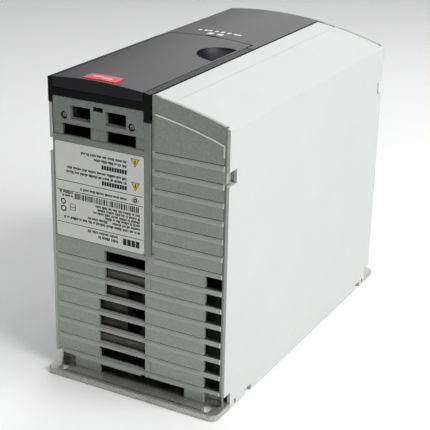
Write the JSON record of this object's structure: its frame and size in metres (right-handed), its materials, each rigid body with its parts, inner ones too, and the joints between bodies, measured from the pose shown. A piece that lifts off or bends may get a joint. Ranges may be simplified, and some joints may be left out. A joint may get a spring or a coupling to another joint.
{
  "type": "variable frequency drive",
  "caption": "Book-style motor drive on a flanged back plate: ribbed vented housing, arched dark front with lift-off covers, fan, heatsink and plug-in terminals.",
  "frame": {"origin": "centre of the back plate's underside, the face that bolts to the cabinet wall", "axes": "+X across the width, from the dark front cover's side to the light side; +Y along the length, from the fan end with the keyholes to the terminal end; +Z out of the arched front"},
  "size_m": [0.13, 0.268, 0.207],
  "materials": {
    "back_plate_metal": "satin",
    "heatsink_metal": "satin",
    "light_housing": "matte",
    "panel_grey": "matte",
    "guide_brown": "matte",
    "steel": "satin",
    "label_film": "satin",
    "black_front": "satin",
    "cover_charcoal": "satin",
    "badge_red": "gloss",
    "fan_black": "satin",
    "module_black": "satin",
    "board_green": "satin",
    "brass_plated": "satin",
    "capacitor_sleeve": "gloss",
    "core_steel": "matte",
    "winding_copper": "gloss",
    "film_capacitor": "satin",
    "relay_case": "satin",
    "terminal_dark": "satin",
    "tray_grey": "matte",
    "switch_red": "satin",
    "slider_white": "satin",
    "insulation_film": "satin",
    "ribbon_grey": "matte"
  },
  "bodies": {
    "chassis": {"back_plate": "back_plate_metal", "heatsink": "heatsink_metal", "side_cover": "light_housing", "side_wall": "light_housing", "ribbed_end_panel": "panel_grey", "label_panel": "panel_grey", "fan_cover": "panel_grey", "gland_panel": "panel_grey", "panel_screws": "steel", "rating_label": "label_film", "front_frame": "black_front", "terminal_end_panel": "panel_grey", "air_guide": "guide_brown", "fan_frame": "fan_black", "power_module": "module_black", "module_screws": "steel", "power_board": "board_green", "board_standoffs": "brass_plated", "dc_capacitors": "capacitor_sleeve", "choke_cores": "core_steel", "choke_windings": "winding_copper", "filter_core": "core_steel", "filter_windings": "winding_copper", "suppression_capacitors": "film_capacitor", "power_relays": "relay_case", "current_sensors": "relay_case", "power_headers": "terminal_dark", "relay_header": "terminal_dark", "control_cassette": "tray_grey", "control_board": "board_green", "control_headers": "terminal_dark", "switch_block": "switch_red", "keypad_connector": "terminal_dark", "insulation_sheet": "insulation_film", "ribbon_cable": "ribbon_grey", "earth_screws": "steel"},
    "fan_rotor": {"fan_rotor": "fan_black", "fan_shaft": "steel"},
    "keypad_cover": {"keypad_cover": "cover_charcoal", "badge": "badge_red"},
    "terminal_cover": {"terminal_cover": "cover_charcoal"},
    "mains_plug": {"mains_plug": "terminal_dark", "mains_plug_screws": "steel"},
    "motor_plug": {"motor_plug": "terminal_dark", "motor_plug_screws": "steel"},
    "brake_plug": {"brake_plug": "terminal_dark", "brake_plug_screws": "steel"},
    "relay_plug_1": {"relay_plug_1": "terminal_dark"},
    "relay_plug_2": {"relay_plug_2": "terminal_dark"},
    "control_plug_bus": {"control_plug_bus": "terminal_dark"},
    "control_plug_digital": {"control_plug_digital": "terminal_dark"},
    "control_plug_analog": {"control_plug_analog": "terminal_dark"},
    "switch_slider_1": {"switch_slider_1": "slider_white"},
    "switch_slider_2": {"switch_slider_2": "slider_white"},
    "switch_slider_3": {"switch_slider_3": "slider_white"}
  },
  "joints": [
    {"name": "fan_spin", "type": "hinge", "parent": "chassis", "child": "fan_rotor", "pos_m": [-0.026, -0.104, 0.054], "axis": [0, -1, 0], "continuous": true},
    {"name": "keypad_cover_lift", "type": "slide", "parent": "chassis", "child": "keypad_cover", "axis": [0, 0, 1], "range_m": [0, 0.04]},
    {"name": "terminal_cover_lift", "type": "slide", "parent": "chassis", "child": "terminal_cover", "axis": [0, 0, 1], "range_m": [0, 0.04]},
    {"name": "mains_plug_pull", "type": "slide", "parent": "chassis", "child": "mains_plug", "axis": [0, 1, 0], "range_m": [0, 0.03]},
    {"name": "motor_plug_pull", "type": "slide", "parent": "chassis", "child": "motor_plug", "axis": [0, 1, 0], "range_m": [0, 0.03]},
    {"name": "brake_plug_pull", "type": "slide", "parent": "chassis", "child": "brake_plug", "axis": [0, 1, 0], "range_m": [0, 0.03]},
    {"name": "relay_plug_1_pull", "type": "slide", "parent": "chassis", "child": "relay_plug_1", "axis": [0, 1, 0], "range_m": [0, 0.028]},
    {"name": "relay_plug_2_pull", "type": "slide", "parent": "chassis", "child": "relay_plug_2", "axis": [0, 1, 0], "range_m": [0, 0.028]},
    {"name": "control_plug_bus_pull", "type": "slide", "parent": "chassis", "child": "control_plug_bus", "axis": [0, 1, 0], "range_m": [0, 0.028]},
    {"name": "control_plug_digital_pull", "type": "slide", "parent": "chassis", "child": "control_plug_digital", "axis": [0, 1, 0], "range_m": [0, 0.028]},
    {"name": "control_plug_analog_pull", "type": "slide", "parent": "chassis", "child": "control_plug_analog", "axis": [0, 1, 0], "range_m": [0, 0.028]},
    {"name": "switch_1_slide", "type": "slide", "parent": "chassis", "child": "switch_slider_1", "axis": [0, 1, 0], "range_m": [0, 0.0033]},
    {"name": "switch_2_slide", "type": "slide", "parent": "chassis", "child": "switch_slider_2", "axis": [0, 1, 0], "range_m": [0, 0.0033]},
    {"name": "switch_3_slide", "type": "slide", "parent": "chassis", "child": "switch_slider_3", "axis": [0, 1, 0], "range_m": [0, 0.0033]}
  ]
}
